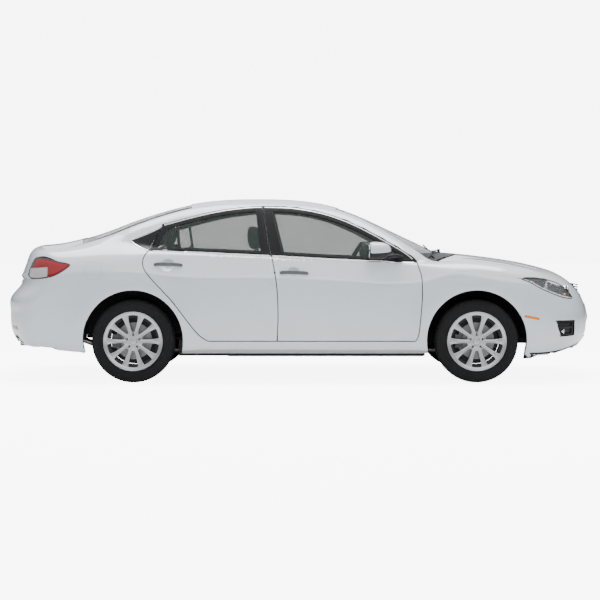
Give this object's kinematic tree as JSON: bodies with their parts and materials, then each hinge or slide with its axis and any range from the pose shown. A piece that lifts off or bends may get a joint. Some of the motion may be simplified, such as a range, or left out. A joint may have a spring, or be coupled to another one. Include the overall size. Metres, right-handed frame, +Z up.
{
  "type": "sedan car",
  "caption": "Four-door sedan with a three-box body, opening doors, hood and boot lid, steered front wheels on multi-spoke alloy rims, and a furnished cabin.",
  "frame": {"origin": "on the ground under the middle of the car, at the centre of its bounding box", "axes": "+X forward, +Y to the left, +Z up"},
  "size_m": [4.919, 2.1576, 1.512],
  "materials": {
    "body_paint": "gloss white",
    "underbody": "satin dark grey",
    "black_plastic": "matt black",
    "window_glass": "clear with a faint green tint",
    "lamp_clear": "clear",
    "lamp_red": "gloss red",
    "engine_alloy": "cast, matt",
    "exhaust_steel": "satin",
    "tank_plastic": "matt black",
    "suspension_iron": "matt",
    "seat_cloth": "woven grey",
    "trim_plastic": "grained dark grey",
    "wheel_alloy": "silver lacquer",
    "tyre_rubber": "black"
  },
  "bodies": {
    "body": {"floor_pan": "underbody", "engine_bay": "underbody", "right_body_side": "body_paint", "left_body_side": "body_paint", "roof_panel": "body_paint", "cowl_panel": "black_plastic", "right_front_fender": "body_paint", "left_front_fender": "body_paint", "front_bumper": "body_paint", "grille": "black_plastic", "rear_bumper": "body_paint", "windshield": "window_glass", "rear_window": "window_glass", "headlamps": "lamp_clear", "tail_lamps": "lamp_red", "engine_block": "engine_alloy", "exhaust_system": "exhaust_steel", "fuel_tank": "tank_plastic", "front_suspension": "suspension_iron", "rear_suspension": "suspension_iron", "front_seats": "seat_cloth", "rear_seat": "seat_cloth", "dashboard": "trim_plastic", "center_console": "trim_plastic", "wipers": "black_plastic"},
    "hood": {"hood": "body_paint"},
    "trunk_lid": {"trunk_lid": "body_paint"},
    "right_front_door": {"right_front_door": "body_paint", "right_front_door_glass": "window_glass", "right_mirror": "body_paint"},
    "left_front_door": {"left_front_door": "body_paint", "left_front_door_glass": "window_glass", "left_mirror": "body_paint"},
    "right_rear_door": {"right_rear_door": "body_paint", "right_rear_door_glass": "window_glass"},
    "left_rear_door": {"left_rear_door": "body_paint", "left_rear_door_glass": "window_glass"},
    "steering_wheel": {"steering_wheel": "trim_plastic"},
    "right_front_knuckle": {"right_front_knuckle": "suspension_iron"},
    "left_front_knuckle": {"left_front_knuckle": "suspension_iron"},
    "right_front_wheel": {"right_front_wheel": "wheel_alloy", "right_front_tyre": "tyre_rubber"},
    "right_rear_wheel": {"right_rear_wheel": "wheel_alloy", "right_rear_tyre": "tyre_rubber"},
    "left_front_wheel": {"left_front_wheel": "wheel_alloy", "left_front_tyre": "tyre_rubber"},
    "left_rear_wheel": {"left_rear_wheel": "wheel_alloy", "left_rear_tyre": "tyre_rubber"}
  },
  "joints": [
    {"name": "right_front_door_hinge", "type": "hinge", "parent": "body", "child": "right_front_door", "pos_m": [0.931, -0.89062, 0.655], "axis": [0, 0, 1], "range_deg": [0, 70]},
    {"name": "right_rear_door_hinge", "type": "hinge", "parent": "body", "child": "right_rear_door", "pos_m": [-0.24, -0.89483, 0.655], "axis": [0, 0, 1], "range_deg": [0, 70]},
    {"name": "left_front_door_hinge", "type": "hinge", "parent": "body", "child": "left_front_door", "pos_m": [0.931, 0.89062, 0.655], "axis": [0, 0, -1], "range_deg": [0, 70]},
    {"name": "left_rear_door_hinge", "type": "hinge", "parent": "body", "child": "left_rear_door", "pos_m": [-0.24, 0.89483, 0.655], "axis": [0, 0, -1], "range_deg": [0, 70]},
    {"name": "hood_hinge", "type": "hinge", "parent": "body", "child": "hood", "pos_m": [1.15, 0, 0.96851], "axis": [0, -1, 0], "range_deg": [0, 50]},
    {"name": "trunk_lid_hinge", "type": "hinge", "parent": "body", "child": "trunk_lid", "pos_m": [-1.7, 0, 1.085], "axis": [0, 1, 0], "range_deg": [0, 70]},
    {"name": "right_front_steer", "type": "hinge", "parent": "body", "child": "right_front_knuckle", "pos_m": [1.435, -0.7, 0.338], "axis": [0, 0, 1], "range_deg": [-35, 35]},
    {"name": "left_front_steer", "type": "hinge", "parent": "body", "child": "left_front_knuckle", "pos_m": [1.435, 0.7, 0.338], "axis": [0, 0, 1], "range_deg": [-35, 35]},
    {"name": "steering_wheel_turn", "type": "hinge", "parent": "body", "child": "steering_wheel", "pos_m": [0.455, 0.375, 0.975], "axis": [0.866, 0, -0.5], "range_deg": [-525, 525]},
    {"name": "right_front_wheel_spin", "type": "hinge", "parent": "right_front_knuckle", "child": "right_front_wheel", "pos_m": [1.435, -0.785, 0.338], "axis": [0, 1, 0], "continuous": true},
    {"name": "right_rear_wheel_spin", "type": "hinge", "parent": "body", "child": "right_rear_wheel", "pos_m": [-1.355, -0.785, 0.338], "axis": [0, 1, 0], "continuous": true},
    {"name": "left_front_wheel_spin", "type": "hinge", "parent": "left_front_knuckle", "child": "left_front_wheel", "pos_m": [1.435, 0.785, 0.338], "axis": [0, 1, 0], "continuous": true},
    {"name": "left_rear_wheel_spin", "type": "hinge", "parent": "body", "child": "left_rear_wheel", "pos_m": [-1.355, 0.785, 0.338], "axis": [0, 1, 0], "continuous": true}
  ],
  "couplings": [
    {"joint": "left_front_steer", "follows": "right_front_steer", "ratio": 1},
    {"joint": "steering_wheel_turn", "follows": "right_front_steer", "ratio": -15}
  ]
}
